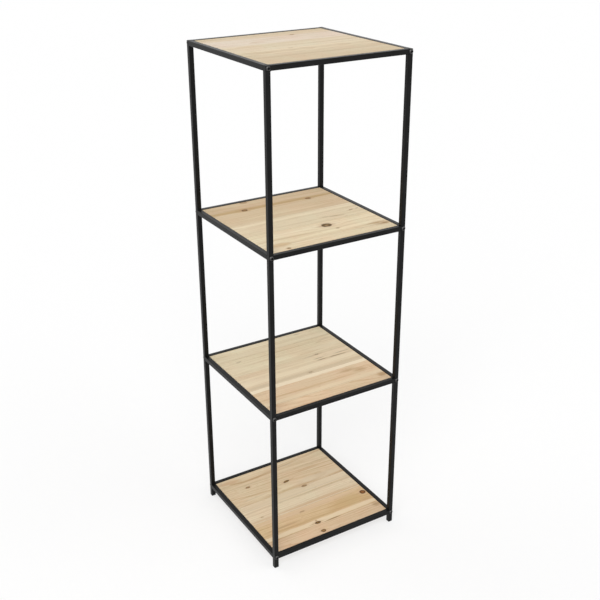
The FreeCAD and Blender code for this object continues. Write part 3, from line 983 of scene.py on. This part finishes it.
def tab_welds(row, level):
    """The four tacks of the two tabs on a front or back rail."""
    low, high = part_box(f"support_tabs_{level}")
    root, inward = (low.y, 1) if row == "front" else (high.y, -1)
    height, thickness = (low.z + high.z) / 2, high.z - low.z
    ends = [(low.x, -1), (low.x + TAB_LENGTH, 1), (high.x - TAB_LENGTH, -1), (high.x, 1)]
    return [weld_tack(Vector((x, root, height)), side, inward, thickness) for x, side in ends]


print("length of a bead in mm:", round(bead_length("front", 1) / MM, 1))

# %% Join the welds of each ladder in one piece
SAME_POINT = 1e-6           # points nearer than this, in metres, are merged
SHARP = math.radians(50.0)  # edges sharper than this don't look smooth


def put(name, data):
    """A new object in the scene, at the origin and unturned."""
    made = bpy.data.objects.new(name, data)
    bpy.context.scene.collection.objects.link(made)
    return made


def gather(name, shapes):
    """Joins closed shapes in one object, with clean outward faces."""
    joined, carrier = bmesh.new(), bpy.data.meshes.new(name)
    for shape in shapes:
        shape.to_mesh(carrier)
        shape.free()
        joined.from_mesh(carrier)
    bmesh.ops.remove_doubles(joined, verts=joined.verts, dist=SAME_POINT)
    bmesh.ops.recalc_face_normals(joined, faces=joined.faces)
    open_edges = sum(not edge.is_manifold for edge in joined.edges)
    joined.to_mesh(carrier)
    joined.free()
    carrier.shade_smooth()
    carrier.set_sharp_from_angle(angle=SHARP)
    print(name, "has", len(carrier.polygons), "faces and", open_edges, "open edges")
    return put(name, carrier)


for row in ("front", "back"):
    welds = [weld for level in LEVELS for weld in rail_welds(row, level) + tab_welds(row, level)]
    piece = gather(f"{row}_ladder_welds", welds)
    piece.data.materials.append(coat)
    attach(piece, "root")

# %% [markdown]
# ## A studio with a white floor
#
# The floor has to look white and still keep the shadow of the tower. A brighter lamp would
# burn out the pale wood first, so the lamps stay plain. Instead the floor adds about two
# thirds of its white as its own light, only for rays from the camera and for reflections. The
# rest is paint, which the tower can shade. A sun lamp with a wide disc is a soft box that is
# equally strong everywhere, so the floor is as white far away as it is close by.


# %% Rays that look at the floor and the sky
def seen_directly(tree):
    """1 for rays from the camera, reflections and glass, and 0 for light on surfaces."""
    rays = add(tree, "ShaderNodeLightPath", {}).outputs
    glossy = sums(tree, "MAXIMUM", rays["Is Glossy Ray"], rays["Is Transmission Ray"])
    return sums(tree, "MAXIMUM", rays["Is Camera Ray"], glossy)


def grey(value):
    """A colour with no hue."""
    return (value, value, value)


print("helpers: seen_directly, grey")

# %% The floor
FLOOR_SIZE = 60.0
FLOOR_PAINT = 0.75          # its white for the light that it throws back at the tower
FLOOR_SHADED = 0.33         # the part of its seen white that a shadow can take away
FLOOR_GLOW = 0.65           # and the part that no shadow takes away


def floor_paint():
    """White that keeps a shadow."""
    material = bpy.data.materials.new("floor")
    tree = bare_tree(material)
    seen = seen_directly(tree)
    white = blend(tree, seen, grey(FLOOR_PAINT), grey(FLOOR_SHADED))
    paint = add(tree, "ShaderNodeBsdfDiffuse", {"Color": white})
    glow = add(tree, "ShaderNodeEmission", {"Strength": sums(tree, "MULTIPLY", seen, FLOOR_GLOW)})
    both = add(tree, "ShaderNodeAddShader", {0: paint.outputs[0], 1: glow.outputs[0]})
    add(tree, "ShaderNodeOutputMaterial", {"Surface": both.outputs[0]})
    return material


def add_floor():
    """A flat square under the feet."""
    shape = bmesh.new()
    bmesh.ops.create_grid(shape, x_segments=1, y_segments=1, size=FLOOR_SIZE / 2)
    mesh = bpy.data.meshes.new("floor")
    shape.to_mesh(mesh)
    shape.free()
    mesh.materials.append(floor_paint())
    floor = put("floor", mesh)


add_floor()
print("floor:", FLOOR_SIZE, "m square")

# %% The lamps
Lamp = namedtuple("Lamp", "name turn height strength softness")
LAMPS = [Lamp("key", -38.0, 38.0, 1.75, 50.0), Lamp("fill", 42.0, 32.0, 0.85, 60.0),
         Lamp("back", -150.0, 32.0, 0.65, 60.0)]


def add_lamp(spec):
    """A sun lamp with a disc as wide as a soft box, in degrees. A turn of 0 shines from the front."""
    data = bpy.data.lights.new(spec.name, "SUN")
    data.energy = spec.strength
    data.angle = math.radians(spec.softness)
    turn, height = math.radians(spec.turn), math.radians(spec.height)
    level = math.cos(height)
    towards = Vector((math.sin(turn) * level, -math.cos(turn) * level, math.sin(height)))
    lamp = put(spec.name, data)
    lamp.rotation_euler = towards.to_track_quat("Z", "Y").to_euler()


for lamp in LAMPS:
    add_lamp(lamp)
print("lamps:", [lamp.name for lamp in LAMPS])

# %% The sky
SKY = 0.46                  # its strength as a lamp


def add_sky():
    """Even light from all round, and plain white where it is looked at."""
    world = bpy.data.worlds.new("studio")
    tree = bare_tree(world)
    strength = ease(tree, seen_directly(tree), 0.0, 1.0, SKY, 1.0)
    light = add(tree, "ShaderNodeBackground", {"Color": grey(1.0), "Strength": strength})
    add(tree, "ShaderNodeOutputWorld", {"Surface": light.outputs[0]})
    bpy.context.scene.world = world


add_sky()
print("sky:", bpy.context.scene.world.name)

# %% [markdown]
# ## The camera
#
# The tower is looked down on from the front left, from about two metres away. A constraint could
# aim the camera, but it would hold it level, and this one is rolled by a quarter of a degree. So
# it turns as on a tripod: first to the right, then down, and last about its own view.

# %% Camera
CAMERA_PLACE = (-1.0536, -1.7466, 1.5374)
TURN, TILT, ROLL = 31.22, 24.60, -0.25      # degrees to the right, down, and about the view
LENS, SENSOR = 56.47, 36.0                  # millimetres


def add_camera():
    """A plain camera with no shift and no depth of field."""
    data = bpy.data.cameras.new("camera")
    data.sensor_width = SENSOR
    data.lens = LENS
    camera = put("camera", data)
    turn = Matrix.Rotation(math.radians(-TURN), 4, "Z")
    down = Matrix.Rotation(math.radians(90.0 - TILT), 4, "X")
    roll = Matrix.Rotation(math.radians(ROLL), 4, "Z")
    camera.matrix_world = Matrix.Translation(CAMERA_PLACE) @ turn @ down @ roll
    bpy.context.scene.camera = camera


add_camera()
bpy.context.scene.view_settings.view_transform = "Standard"
print("camera at", CAMERA_PLACE, "with a lens of", LENS, "mm")
